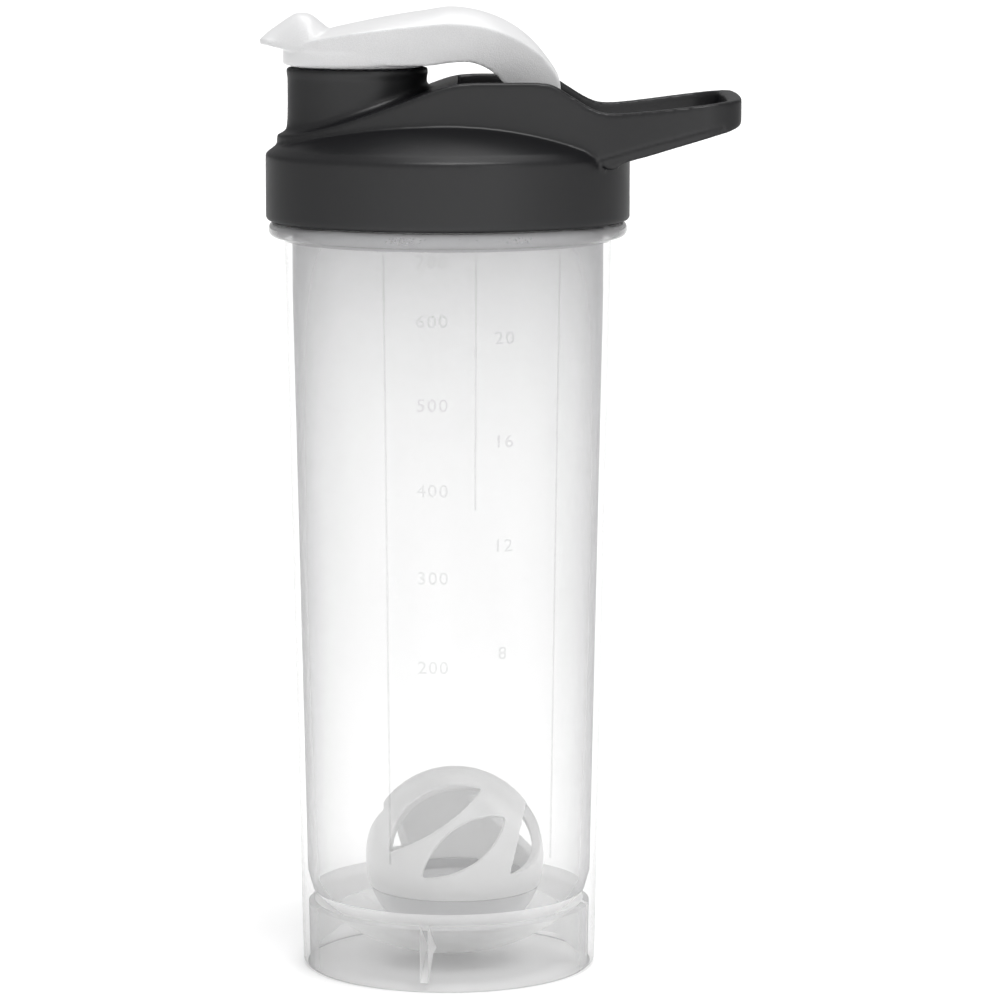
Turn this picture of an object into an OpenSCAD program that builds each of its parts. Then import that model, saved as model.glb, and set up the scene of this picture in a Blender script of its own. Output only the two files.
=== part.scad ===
/* [Bottle] */
// Height of the bottle from the table to the rim of its neck
bottle_h = 200.6; // [196:0.2:210]
// Outer radius of the wall at the table
foot_r = 36.7; // [34:0.1:38]
// Outer radius of the wall just under the bead
shoulder_r = 40.5; // [39.5:0.1:41.5]
// Thickness of the moulded wall
wall_t = 1.7; // [1.4:0.1:2]
// Height at which the bowl-shaped floor meets the wall
floor_edge_z = 20.5; // [18:0.5:24]
// Height of the top of the floor at the middle
floor_mid_z = 4.4; // [4:0.1:6]
// Number of gussets under the floor
gussets = 4; // [3:1:6]

/* [Neck and thread] */
// Outer radius of the neck between the threads
neck_r = 40.6; // [40:0.1:41]
// Rise of the thread for each turn
thread_lead = 6; // [5:0.5:7]
// Height of the thread ridges above their wall
thread_h = 1.6; // [1.2:0.1:1.7]

/* [Cap] */
// Outer radius of the cap's band
cap_r = 45; // [44.8:0.1:46]
// Height of the band's lower edge above the table
band_z0 = 187.4; // [187.3:0.1:188]
// Height of the band's upper edge above the table
band_z1 = 204.3; // [204:0.1:206]
// Radius of curvature of the domed top
dome_r = 103; // [98:1:110]

/* [Spout] */
// Distance from the bottle's axis to the spout's axis
spout_x = -22.3; // [-23:0.1:-21.5]
// Outer radius of the spout
spout_r = 17.2; // [16.8:0.1:17.6]
// Radius of the drinking opening
spout_bore_r = 14.8; // [14.7:0.1:15.2]
// Height of the spout's lip above the table
spout_z = 225; // [224:0.2:225.2]

/* [Carry loop] */
// Height of the side walls above the table
rail_z = 222.2; // [221:0.2:223]
// Half the distance across the side walls
rail_y = 26; // [25:0.5:27]
// Half the width of the loop near its end
loop_y = 32; // [30:0.5:34]
// Distance from the bottle's axis to the loop's end
loop_x = 72.4; // [68:0.2:76]
// Thickness of the side walls and the loop
rail_t = 3.6; // [3:0.1:4]

/* [Flip cap] */
// Radius of the round pad over the spout
pad_r = 18.3; // [18:0.1:18.8]
// Half the width of the lever at its hinge
lever_y = 11.5; // [10:0.5:12]
// Distance from the bottle's axis to the hinge
hinge_x = 24; // [23.5:0.1:24.5]
// Height of the hinge above the table
hinge_z = 217; // [216.8:0.1:217.4]
// Radius of the hinge pin
pin_r = 1.5; // [1.3:0.1:1.7]

/* [Mixing ball] */
// Outer radius of the ball
ball_r = 22.4; // [21:0.1:23]
// Wall of the ball
ball_t = 2.2; // [2:0.1:2.4]

/* [Hidden] */
$fn = 96;

// Bead under the cap, and where the wall stops below it
bead_r = 44.4;
bead_z0 = 183.4;
bead_z1 = 187.1;
neck_wall = 2.1;
foot_round = 1.6;

// Gussets: thickness, turn of the first one from the front, and the corners of their free edge
gusset_t = 2;
gusset_turn = -9.5;
gusset_foot_z = 2;
gusset_knee = [28, 7.7];
gusset_tip_r = 22;

// Thread: flank widths at root and crest, turns, where the lower end sits, and steps in a turn
root_w = 2.6;
crest_w = 1.2;
male_turns = 1.25;
female_turns = 1;
thread_z = 190.6;
thread_steps = 36;
fade_steps = 5;
bite = 0.5;

// Cap: bore, ledge that presses on the seal, and roundings
cap_bore_r = 42.9;
ledge_z = 202.2;
ledge_r = 37.6;
shell_t = 2;
band_round = 1.6;
dome_z = 111.9;
seal_gap = 0.05;

// Raised shoulder around the spout
hill_x0 = -42.2;
hill_x1 = -1;
hill_foot_z = 208.4;
ramp_x0 = -31;
ramp_z0 = 210.6;
ramp_x1 = -1;
ramp_z1 = 221.2;
channel_x = 2.5;

// Side walls and loop: the drop behind the hinge, the arms' top and bottom, and the plan
drop_x0 = 24;
drop_x1 = 38;
arm_z = 215;
arm_rise = 0.115;
under_x = 36.8;
under_z = 201.6;
under_tip_x = 70;
under_tip_z = 211;
flare_x0 = 36;
flare_x1 = 60;
loop_round = 10;

// Flip cap: heights of its pad, the lever's hub and the hinge ears
pad_z0 = 225.6;
pad_z1 = 230.4;
pad_recess_r = 16.5;
pad_recess_z = 229;
tab_x = -46.2;
hub_r = 4;
pin_gap = 0.06;
ear_gap = 0.4;
ear_t = 3.6;
groove_y = 8;
hinge_l = 2 * (lever_y + ear_gap + ear_t);

// Plug: where it hangs from, how deep it reaches and its taper
plug_z0 = 222;
plug_z1 = 225.3;
plug_top_r = 14.4;
plug_tip_r = 13.6;

// Ball: where it rests, where its halves meet, and the ring that joins them
ball_x = 1.5;
ball_z = 26.9;
seam_z = 19.5;
lap_t = 1;
lap_h = 3;

// Slots of the cage: angle from the front, latitude, lean from level, length and width
slots = [[-22, 41, 45, 28, 11.4], [8, 18, 34, 26, 9.6], [68, 18, 34, 26, 9.6], [128, 18, 34, 26, 9.6],
         [248, 18, 34, 26, 9.6]];

/* Points of a circular arc in the plane, from angle a0 to a1 */
function arc(cx, cz, r, a0, a1, n = 8) =
    [for (i = [0:n]) let (a = a0 + (a1 - a0) * i / n) [cx + r * cos(a), cz + r * sin(a)]];

/* Outer radius of the tapering wall at height z */
function wall_r(z) = foot_r + (shoulder_r - foot_r) * z / bead_z0;

/* Radius and middle of the sphere whose cap is the floor */
floor_c = wall_r(floor_edge_z) - wall_t;
floor_d = floor_edge_z - floor_mid_z;
floor_r = (floor_c * floor_c + floor_d * floor_d) / (2 * floor_d);
floor_z = floor_mid_z + floor_r;

/* Height of the floor's underside at distance r from the axis */
function under_at(r) = floor_z - sqrt(pow(floor_r + wall_t, 2) - r * r);

/* Height of the domed top at distance r from the axis */
function dome_at(r) = dome_z + sqrt(dome_r * dome_r - r * r);

/* An S-shaped step from 0 to 1 */
function s_step(t) = (1 - cos(180 * min(1, max(0, t)))) / 2;

/* Height of the top edge of the shoulder, side walls and loop at distance x */
function rail_top(x) =
    x < ramp_x0 ? hill_foot_z + (ramp_z0 - hill_foot_z) * (x - hill_x0) / (ramp_x0 - hill_x0)
    : x < ramp_x1 ? ramp_z0 + (ramp_z1 - ramp_z0) * (x - ramp_x0) / (ramp_x1 - ramp_x0)
    : x < drop_x0 ? ramp_z1 + (rail_z - ramp_z1) * sin(90 * min(1, (x - ramp_x1) / 5))
    : rail_z - (rail_z - arm_z) * s_step((x - drop_x0) / (drop_x1 - drop_x0))
      + arm_rise * max(0, x - drop_x1);

/* Half the width of the side walls and the loop at distance x */
function rail_half(x) = rail_y + (loop_y - rail_y) * s_step((x - flare_x0) / (flare_x1 - flare_x0));

/* A trapezium-shaped ridge that climbs around the axis and fades out at both ends */
module helix_ridge(root_r, crest_r, z0, turns, a0) {
    steps = round(turns * thread_steps);
    side = sign(crest_r - root_r);
    points = [for (i = [0:steps])
        let (a = a0 + 360 * i / thread_steps,
             z = z0 + thread_lead * i / thread_steps,
             grow = min(1, (i + 0.6) / fade_steps, (steps - i + 0.6) / fade_steps),
             r1 = root_r + (crest_r - root_r) * grow,
             r0 = root_r - side * bite)
        each [for (p = [[r0, -root_w / 2], [r1, -crest_w / 2], [r1, crest_w / 2], [r0, root_w / 2]])
            [p[0] * cos(a), p[0] * sin(a), z + p[1]]]];
    skin = [for (i = [0:steps - 1]) for (k = [0:3])
        let (n = (k + 1) % 4, a = 4 * i + k, b = 4 * i + n, c = b + 4, d = a + 4)
            each [[a, b, c], [a, c, d]]];
    ends = [[3, 2, 1], [3, 1, 0],
            [4 * steps, 4 * steps + 1, 4 * steps + 2], [4 * steps, 4 * steps + 2, 4 * steps + 3]];
    faces = concat(skin, ends);
    polyhedron(points, side < 0 ? [for (f = faces) [f[2], f[1], f[0]]] : faces);
}

/* Half outline of the bottle: wall, bead, neck and bowl-shaped floor */
module bottle_profile() {
    under_r = floor_r + wall_t;
    edge_a = asin(floor_c / floor_r);
    under_a = asin((wall_r(floor_edge_z) - wall_t - 0.4) / under_r);
    polygon(concat(
        arc(foot_r - foot_round, foot_round, foot_round, -90, 0, 4),
        [[wall_r(bead_z0), bead_z0 - 1]],
        arc(bead_r - 1.4, bead_z0 + 1.4, 1.4, -90, 0, 5),
        arc(bead_r - 1.4, bead_z1 - 1.4, 1.4, 0, 90, 5),
        [[neck_r, bead_z1], [neck_r, bottle_h - 0.6], [neck_r - 0.6, bottle_h],
         [neck_r - neck_wall + 0.5, bottle_h], [neck_r - neck_wall, bottle_h - 0.5],
         [neck_r - neck_wall, bead_z0 + 1], [wall_r(bead_z0 - 3) - wall_t, bead_z0 - 3],
         [wall_r(floor_edge_z + 3) - wall_t, floor_edge_z + 3]],
        arc(0, floor_z, floor_r, -90 + edge_a, -90, 14),
        arc(0, floor_z, under_r, -90, -90 + under_a, 14),
        [[wall_r(gusset_foot_z) - wall_t, gusset_foot_z], [foot_r - wall_t, 0]]));
}

/* One flat gusset between the wall and the underside of the floor */
module gusset() {
    rotate([90, 0, 0])
        linear_extrude(gusset_t, center = true)
            polygon([[wall_r(gusset_foot_z) - wall_t + 0.6, gusset_foot_z], gusset_knee,
                     [gusset_tip_r, under_at(gusset_tip_r) + 0.6],
                     [gusset_knee[0], under_at(gusset_knee[0]) + 0.8],
                     [wall_r(floor_edge_z) - wall_t + 0.6, floor_edge_z - 1]]);
}

module bottle_body() {
    color([0.86, 0.87, 0.88, 0.45])
        union() {
            rotate_extrude()
                bottle_profile();
            for (i = [0:gussets - 1])
                rotate(270 + gusset_turn + 360 * i / gussets)
                    gusset();
            helix_ridge(neck_r, neck_r + thread_h, thread_z, male_turns, 0);
        }
}

/* The band and the dome, filled */
module cap_block() {
    edge_a = acos((cap_r - band_round) / dome_r);
    rotate_extrude()
        polygon(concat(
            [[0, band_z0], [cap_r - 0.8, band_z0], [cap_r, band_z0 + 0.8]],
            arc(cap_r - band_round, band_z1 - band_round, band_round, 0, 60, 5),
            [[cap_r - band_round, dome_at(cap_r - band_round)]],
            arc(0, dome_z, dome_r, edge_a, 90, 16)));
}

/* The hollow inside the cap: threaded bore, ledge and the underside of the dome */
module cap_hollow() {
    hollow_a = acos(ledge_r / (dome_r - shell_t));
    rotate_extrude()
        polygon(concat(
            [[0, band_z0 - 1], [cap_bore_r, band_z0 - 1], [cap_bore_r, ledge_z], [ledge_r, ledge_z]],
            arc(0, dome_z, dome_r - shell_t, hollow_a, 90, 14)));
}

/* Plan of the raised shoulder, the side walls and the loop; inset shrinks it */
module rail_plan(inset) {
    x1 = loop_x - inset;
    y1 = rail_half(loop_x) - inset;
    r = loop_round - inset;
    half = concat(
        [for (i = [0:18]) let (a = 180 - 90 * i / 18)
            [hill_x1 + (hill_x1 - hill_x0 - inset) * cos(a), (rail_y - inset) * sin(a)]],
        [for (i = [0:10]) let (x = flare_x0 + (loop_x - loop_round - flare_x0) * i / 10)
            [x, rail_half(x) - inset]],
        arc(x1 - r, y1 - r, r, 80, 0, 8));
    polygon(concat(half, [for (i = [len(half) - 1:-1:1]) [half[i][0], -half[i][1]]]));
}

/* Side view of the same parts: the top edge from the spout to the loop's end, and the underside */
module rail_side() {
    top = [for (x = [hill_x0 - 1:1.5:loop_x + 1]) [x, rail_top(x)]];
    polygon(concat(top,
        [[loop_x + 1, under_tip_z + 0.8], [under_tip_x, under_tip_z], [under_x, under_z],
         [under_x - 4, band_z1 - 1], [hill_x0 - 1, band_z1 - 1]]));
}

/* Everything that stands on the dome, as one block */
module rail_block(inset) {
    intersection() {
        translate([0, 0, band_z1 - 3])
            linear_extrude(40)
                rail_plan(inset);
        translate([0, 60, 0])
            rotate([90, 0, 0])
                linear_extrude(120)
                    rail_side();
    }
}

/* Two ears that hold the hinge pin */
module hinge_ears() {
    for (side = [-1, 1])
        translate([hinge_x, side * (lever_y + ear_gap + ear_t / 2), 0])
            rotate([90, 0, 0]) {
                translate([0, hinge_z, 0])
                    cylinder(h = ear_t, r = hub_r - 0.4, center = true);
                translate([-hub_r + 0.4, dome_at(hinge_x) - 1.2, -ear_t / 2])
                    cube([2 * hub_r - 0.8, hinge_z - dome_at(hinge_x) + 1.2, ear_t]);
            }
}

/* Shoulder, side walls and loop, with the channel for the lever and the loop's opening */
module rails() {
    difference() {
        rail_block(0);
        intersection() {
            translate([channel_x, -50, 0])
                cube([100, 100, 300]);
            linear_extrude(300)
                rail_plan(rail_t);
        }
    }
}

module lid_shell() {
    color([0.19, 0.19, 0.2])
        difference() {
            union() {
                difference() {
                    union() {
                        cap_block();
                        rails();
                        translate([spout_x, 0, band_z1 - 2])
                            cylinder(h = spout_z - band_z1 + 2, r = spout_r);
                    }
                    cap_hollow();
                    // Drinking channel through the spout
                    translate([spout_x, 0, ledge_z])
                        cylinder(h = 60, r = spout_bore_r);
                }
                hinge_ears();
                helix_ridge(cap_bore_r, cap_bore_r - thread_h, thread_z + thread_lead / 6,
                            female_turns, -120);
            }
            // Hinge bore, through the ears only
            translate([hinge_x, 0, hinge_z])
                rotate([90, 0, 0])
                    cylinder(h = hinge_l + 1, r = pin_r + pin_gap, center = true);
        }
}

module lid_gasket() {
    color([0.75, 0.76, 0.78])
        translate([0, 0, bottle_h + seal_gap])
            difference() {
                cylinder(h = ledge_z - bottle_h - 2 * seal_gap, r = cap_bore_r - 0.4);
                translate([0, 0, -1])
                    cylinder(h = 5, r = ledge_r + 0.2);
            }
}

module hinge_pin() {
    color([0.8, 0.81, 0.83])
        translate([hinge_x, 0, hinge_z])
            rotate([90, 0, 0])
                cylinder(h = hinge_l, r = pin_r, center = true);
}

/* Stations along the lever: lower edge, side edge, height of the crown and half width */
lever_stations = [
    [[-30, 228.6], [-30, 232.4], 1.6, 14.5], [[-22, 226.8], [-22, 233.4], 2.3, 14.8],
    [[-14, 226], [-14, 234.5], 2.9, 14.4], [[-5, 225.9], [-5, 235.4], 3.6, 13.4],
    [[1, 226.6], [1, 235.8], 4.1, 12.7], [[6, 226.6], [8, 235.3], 3.7, 12.2],
    [[10.5, 224.6], [14.5, 233.4], 3.2, 11.9], [[13.6, 221.8], [19.8, 230.7], 2, lever_y],
    [[16.5, 218.8], [24.1, 227.2], 0.7, lever_y], [[20.5, 215.8], [27.4, 222.3], 0.3, lever_y],
    [[22.5, 214.4], [27.6, 218], 0.1, lever_y]];

/* Crowned lever between the pad and its hub */
module lever_body() {
    crown_steps = 6;
    ring = crown_steps + 3;
    last = len(lever_stations) - 1;
    points = [for (s = lever_stations)
        each concat([[s[0][0], -s[3], s[0][1]]],
            [for (k = [0:crown_steps]) let (t = 2 * k / crown_steps - 1)
                [s[1][0], s[3] * t, s[1][1] + s[2] * (1 - t * t)]],
            [[s[0][0], s[3], s[0][1]]])];
    skin = [for (i = [0:last - 1]) for (k = [0:ring - 1])
        let (n = (k + 1) % ring, a = ring * i + k, b = ring * i + n, c = b + ring, d = a + ring)
            each [[a, b, c], [a, c, d]]];
    fan = [for (k = [1:ring - 2]) [0, k + 1, k]];
    far_fan = [for (f = fan) [for (k = [2:-1:0]) f[k] + ring * last]];
    polyhedron(points, concat(skin, fan, far_fan));
}

/* Round pad with its dished top and the recess that holds the plug */
module pad() {
    translate([spout_x, 0, 0])
        rotate_extrude()
            polygon(concat([[pad_recess_r, pad_z0], [pad_r - 0.4, pad_z0], [pad_r, pad_z0 + 0.4]],
                arc(pad_r - 1.5, pad_z1 - 1.5, 1.5, 0, 90, 4),
                [[0, pad_z1 + 1.6], [0, pad_recess_z], [pad_recess_r, pad_recess_z]]));
}

/* Ramp-shaped thumb tab over the front edge of the pad */
module thumb_tab() {
    rotate([90, 0, 0])
        linear_extrude(2 * groove_y + 2, center = true)
            polygon([[tab_x, 230.6], [tab_x + 0.2, 232], [-41.5, 235.6], [-39, 237.4], [-37.4, 238.2],
                     [-35.8, 238.4], [-34.2, 238.1], [-32.6, 237.3], [-29.1, 234.6], [-24, 233],
                     [-24, 229.2], [-40, 229.4]]);
}

module flip_cap() {
    color([0.95, 0.95, 0.96])
        difference() {
            union() {
                pad();
                difference() {
                    union() {
                        lever_body();
                        thumb_tab();
                    }
                    // Room for the plug under the pad
                    translate([spout_x, 0, pad_z0 - 2])
                        cylinder(h = pad_recess_z - pad_z0 + 2, r = pad_recess_r);
                }
                translate([hinge_x, 0, hinge_z])
                    rotate([90, 0, 0])
                        cylinder(h = 2 * lever_y, r = hub_r, center = true);
            }
            translate([hinge_x, 0, hinge_z])
                rotate([90, 0, 0])
                    cylinder(h = 40, r = pin_r + pin_gap, center = true);
            // Hollow under the lever
            translate([-3, -groove_y, 224])
                cube([11, 2 * groove_y, 8]);
        }
}

module spout_plug() {
    color([0.88, 0.88, 0.9])
        translate([spout_x, 0, 0])
            rotate_extrude()
                polygon([[0, plug_z0], [plug_tip_r - 0.6, plug_z0], [plug_tip_r, plug_z0 + 0.6],
                         [plug_top_r, plug_z1], [pad_recess_r, plug_z1], [pad_recess_r, pad_recess_z],
                         [0, pad_recess_z]]);
}

/* One slanted slot, cut from the middle of the ball outwards */
module ball_slot(around, up, lean, len, wide) {
    lens_r = (len * len + wide * wide) / (4 * wide);
    rotate([0, -up, around - 90])
        rotate([0, 90, 0])
            rotate(lean)
                linear_extrude(ball_r + 2)
                    intersection() {
                        translate([lens_r - wide / 2, 0])
                            circle(lens_r);
                        translate([wide / 2 - lens_r, 0])
                            circle(lens_r);
                    }
}

module ball_cage() {
    color([0.95, 0.95, 0.95])
        translate([ball_x, 0, 0])
            difference() {
                translate([0, 0, ball_z])
                    sphere(ball_r);
                translate([0, 0, ball_z])
                    sphere(ball_r - ball_t);
                // Open below the seam, where the cup snaps in
                translate([0, 0, -50 + seam_z])
                    cube(100, center = true);
                for (s = slots)
                    translate([0, 0, ball_z])
                        ball_slot(s[0], s[1], s[2], s[3], s[4]);
            }
}

module ball_cup() {
    lap_r = sqrt(pow(ball_r - ball_t, 2) - pow(ball_z - seam_z, 2)) - seal_gap;
    color([0.9, 0.91, 0.92, 0.6])
        translate([ball_x, 0, 0])
            union() {
                difference() {
                    translate([0, 0, ball_z])
                        sphere(ball_r);
                    translate([0, 0, ball_z])
                        sphere(ball_r - ball_t);
                    translate([0, 0, seam_z + 50])
                        cube(100, center = true);
                }
                translate([0, 0, seam_z - 0.5])
                    difference() {
                        cylinder(h = 0.5 + lap_h, r = lap_r);
                        translate([0, 0, -1])
                            cylinder(h = lap_h + 3, r = lap_r - lap_t);
                    }
            }
}

bottle_body();
lid_shell();
lid_gasket();
hinge_pin();
flip_cap();
spout_plug();
ball_cage();
ball_cup();
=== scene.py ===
import logging
import math
from collections.abc import Callable, Sequence
from dataclasses import dataclass
from enum import Enum
from typing import Any

import bpy
from mathutils import Matrix, Vector


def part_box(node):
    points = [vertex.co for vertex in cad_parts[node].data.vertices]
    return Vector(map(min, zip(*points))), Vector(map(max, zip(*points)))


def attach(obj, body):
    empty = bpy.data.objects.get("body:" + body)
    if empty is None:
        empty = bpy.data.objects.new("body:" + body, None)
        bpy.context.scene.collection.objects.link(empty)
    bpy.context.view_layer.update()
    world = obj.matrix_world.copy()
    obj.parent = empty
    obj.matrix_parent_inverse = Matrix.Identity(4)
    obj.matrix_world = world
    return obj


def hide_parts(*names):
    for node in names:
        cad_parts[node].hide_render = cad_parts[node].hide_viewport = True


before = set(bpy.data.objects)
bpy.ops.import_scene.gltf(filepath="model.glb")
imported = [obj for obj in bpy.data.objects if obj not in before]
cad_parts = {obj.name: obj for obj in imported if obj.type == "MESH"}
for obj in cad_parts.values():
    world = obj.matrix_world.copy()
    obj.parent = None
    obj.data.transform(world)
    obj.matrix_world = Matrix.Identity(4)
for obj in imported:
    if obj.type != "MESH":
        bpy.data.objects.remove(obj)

LOG = logging.getLogger("shaker_bottle")
MM = 0.001
TURN = 2 * math.pi
WELD = 1e-6
Point2 = tuple[float, float]
Point3 = tuple[float, float, float]
Piece = bpy.types.Object

THREAD_STEP = 4.0
THREAD_FADE = 14.0
THREAD_TIP = 0.05


class Cut(Enum):
    """How one solid changes another."""

    AWAY = "DIFFERENCE"
    ADD = "UNION"
    COMMON = "INTERSECT"


class Plane(Enum):
    """The plane in which an outline is drawn."""

    SIDE = "side"
    PLAN = "plan"


# ---------------------------------------------------------------- curves


def arc(cx: float, cy: float, r: float, a0: float, a1: float, n: int = 8) -> list[Point2]:
    """Points along a circular arc.

    Args:
        cx: Centre, first coordinate.
        cy: Centre, second coordinate.
        r: Radius.
        a0: First angle in degrees.
        a1: Last angle in degrees.
        n: Number of steps.

    Returns:
        The n + 1 points.
    """
    turns = [math.radians(a0 + (a1 - a0) * i / n) for i in range(n + 1)]
    return [(cx + r * math.cos(t), cy + r * math.sin(t)) for t in turns]


def s_step(t: float) -> float:
    """An S-shaped rise from 0 to 1 as t goes from 0 to 1."""
    return (1 - math.cos(math.pi * min(1.0, max(0.0, t)))) / 2


def mix(a: float, b: float, t: float) -> float:
    """The value a share t of the way from a to b."""
    return a + (b - a) * t


def spline(points: Sequence[Sequence[float]], t: float) -> tuple[float, ...]:
    """A smooth curve through points of any dimension.

    Args:
        points: The points it passes through.
        t: Place along it, from 0 at the first point to 1 at the last.

    Returns:
        The point there.
    """
    last = len(points) - 1
    place = min(max(t, 0.0), 1.0) * last
    i = min(int(place), last - 1)
    u = place - i
    a, b, c, d = (points[min(max(k, 0), last)] for k in (i - 1, i, i + 1, i + 2))
    out = []
    for p, q, r, s in zip(a, b, c, d):
        bend = (2 * p - 5 * q + 4 * r - s) * u + (3 * q - p - 3 * r + s) * u * u
        out.append(q + 0.5 * u * (r - p + bend))
    return tuple(out)


def height_on(points: Sequence[Point2], x: float) -> float:
    """Height at x of a smooth curve through points that run left to right.

    Args:
        points: The points, as (x, z).
        x: Where to read it.

    Returns:
        The height.
    """
    lo, hi = 0.0, 1.0
    for _ in range(30):
        mid = (lo + hi) / 2
        if spline(points, mid)[0] < x:
            lo = mid
        else:
            hi = mid
    return spline(points, lo)[1]


def thread_section(root: float, crest: float) -> list[Point2]:
    """The section of a thread's ridge, from the radius of its root to that of its crest."""
    return [(root, -1.3), (crest, -0.6), (crest, 0.6), (root, 1.3)]


# ---------------------------------------------------------------- bench


class Bench:
    """The edit-mode and modifier tools that every sub-assembly is made with. Sizes are in mm."""

    @staticmethod
    def clear() -> None:
        """Leaves edit mode and deselects everything."""
        if bpy.context.mode != "OBJECT":
            bpy.ops.object.mode_set(mode="OBJECT")
        bpy.ops.object.select_all(action="DESELECT")

    @staticmethod
    def take(obj: Piece) -> None:
        """Makes obj the only selected object, and the active one.

        Args:
            obj: The object.
        """
        Bench.clear()
        obj.select_set(True)
        bpy.context.view_layer.objects.active = obj

    @staticmethod
    def edit(obj: Piece) -> None:
        """Opens obj in edit mode with all of it selected.

        Args:
            obj: The object.
        """
        Bench.take(obj)
        bpy.ops.object.mode_set(mode="EDIT")
        bpy.ops.mesh.select_all(action="SELECT")

    @staticmethod
    def close(obj: Piece) -> Piece:
        """Welds doubles, turns the faces outwards and leaves edit mode.

        Args:
            obj: The object.

        Returns:
            The object.
        """
        Bench.edit(obj)
        bpy.ops.mesh.remove_doubles(threshold=WELD)
        bpy.ops.mesh.normals_make_consistent(inside=False)
        bpy.ops.object.mode_set(mode="OBJECT")
        return obj

    @staticmethod
    def fresh(name: str) -> Piece:
        """Names the primitive just added and puts its place into its mesh.

        Args:
            name: Name of the object and its mesh.

        Returns:
            The object.
        """
        obj = bpy.context.active_object
        obj.name = obj.data.name = name
        bpy.ops.object.transform_apply(location=True, rotation=True, scale=True)
        return obj

    @staticmethod
    def chain(name: str, points: Sequence[Point3]) -> Piece:
        """A row of edges, drawn by extruding one vertex from point to point.

        Args:
            name: Name of the object.
            points: The points in mm.

        Returns:
            The object.
        """
        Bench.clear()
        spots = [Vector(p) * MM for p in points]
        bpy.ops.mesh.primitive_plane_add(size=MM, location=spots[0])
        obj = Bench.fresh(name)
        Bench.edit(obj)
        bpy.ops.mesh.merge(type="CENTER")
        for a, b in zip(spots, spots[1:]):
            bpy.ops.mesh.extrude_region_move(TRANSFORM_OT_translate={"value": b - a})
        bpy.ops.object.mode_set(mode="OBJECT")
        return obj

    @staticmethod
    def lathe(name: str, profile: Sequence[Point2], x: float = 0, steps: int = 128) -> Piece:
        """A turned part: the profile is spun about an upright axis.

        Args:
            name: Name of the object.
            profile: Points as (radius, height) in mm.
            x: Where the axis stands.
            steps: Facets in a full turn.

        Returns:
            The object.
        """
        obj = Bench.chain(name, [(x + r, 0, z) for r, z in profile])
        Bench.edit(obj)
        bpy.ops.mesh.spin(steps=steps, angle=TURN, center=(x * MM, 0, 0), axis=(0, 0, 1))
        return Bench.close(obj)

    @staticmethod
    def prism(name: str, outline: Sequence[Point2], plane: Plane, lo: float, hi: float) -> Piece:
        """An outline filled and extruded straight.

        Args:
            name: Name of the object.
            outline: Its corners in mm, as (x, z) for a side view or (x, y) for a plan.
            plane: Which of the two it is.
            lo: Where the extrusion starts, along Y or Z.
            hi: Where it ends.

        Returns:
            The object.
        """
        side = plane is Plane.SIDE
        obj = Bench.chain(name, [(u, lo, v) if side else (u, v, lo) for u, v in outline])
        step = Vector((0, 1, 0) if side else (0, 0, 1)) * (hi - lo) * MM
        Bench.edit(obj)
        bpy.ops.mesh.edge_face_add()
        bpy.ops.mesh.extrude_region_move(TRANSFORM_OT_translate={"value": step})
        return Bench.close(obj)

    @staticmethod
    def rod(name: str, ends: tuple[Point3, Point3], r: float, sides: int = 48) -> Piece:
        """A round bar between two points.

        Args:
            name: Name of the object.
            ends: Its two ends in mm.
            r: Its radius.
            sides: Facets round it.

        Returns:
            The object.
        """
        a, b = (Vector(p) * MM for p in ends)
        turn = (b - a).to_track_quat("Z", "Y").to_euler()
        Bench.clear()
        bpy.ops.mesh.primitive_cylinder_add(
            vertices=sides, radius=r * MM, depth=(b - a).length, location=(a + b) / 2,
            rotation=turn)
        return Bench.fresh(name)

    @staticmethod
    def block(name: str, cuts: int, move: Callable[[float, float, float], Point3]) -> Piece:
        """A cube cut into a fine grid, whose points are then moved to their places.

        Args:
            name: Name of the object.
            cuts: Cuts across each side.
            move: Takes a point of the unit cube and gives its place in mm.

        Returns:
            The object.
        """
        Bench.clear()
        bpy.ops.mesh.primitive_cube_add(size=1, location=(0.5, 0.5, 0.5))
        obj = Bench.fresh(name)
        Bench.edit(obj)
        bpy.ops.mesh.subdivide(number_cuts=cuts)
        bpy.ops.object.mode_set(mode="OBJECT")
        for v in obj.data.vertices:
            v.co = Vector(move(*v.co)) * MM
        return Bench.close(obj)

    @staticmethod
    def helix(name: str, section: Sequence[Point2], root_r: float, z0: float, lead: float,
              start: float, span: float) -> Piece:
        """A ridge that climbs round the upright axis, fading out at both ends.

        Args:
            name: Name of the object.
            section: Its section, as (radius, height) in mm.
            root_r: Radius that the ends fade to.
            z0: Height where it starts.
            lead: Climb in one turn.
            start: Angle where it starts, in degrees.
            span: Angle it covers, in degrees.

        Returns:
            The object.
        """
        steps = int(span / THREAD_STEP)
        obj = Bench.chain(name, [(r, 0, z) for r, z in section])
        Bench.edit(obj)
        bpy.ops.mesh.edge_face_add()
        for _ in range(steps):
            bpy.ops.mesh.extrude_region_move(TRANSFORM_OT_translate={"value": (0, MM, 0)})
        Bench.close(obj)

        def wind(p: Vector) -> Vector:
            """Winds the straight bar round the axis.

            Args:
                p: A point of the bar in mm.

            Returns:
                Its place on the ridge.
            """
            done = p.y / steps * span
            grow = min(1.0, max(THREAD_TIP, min(done, span - done) / THREAD_FADE))
            r, turn = mix(root_r, p.x, grow), math.radians(start + done)
            return Vector((r * math.cos(turn), r * math.sin(turn), z0 + lead * done / 360 + p.z))

        return Bench.close(Bench.moved(obj, wind))

    @staticmethod
    def moved(obj: Piece, move: Callable[[Vector], Vector]) -> Piece:
        """Moves every point of obj, given and returned in mm.

        Args:
            obj: The object.
            move: Gives the new place of a point.

        Returns:
            The object.
        """
        for v in obj.data.vertices:
            v.co = move(v.co / MM) * MM
        return obj

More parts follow.
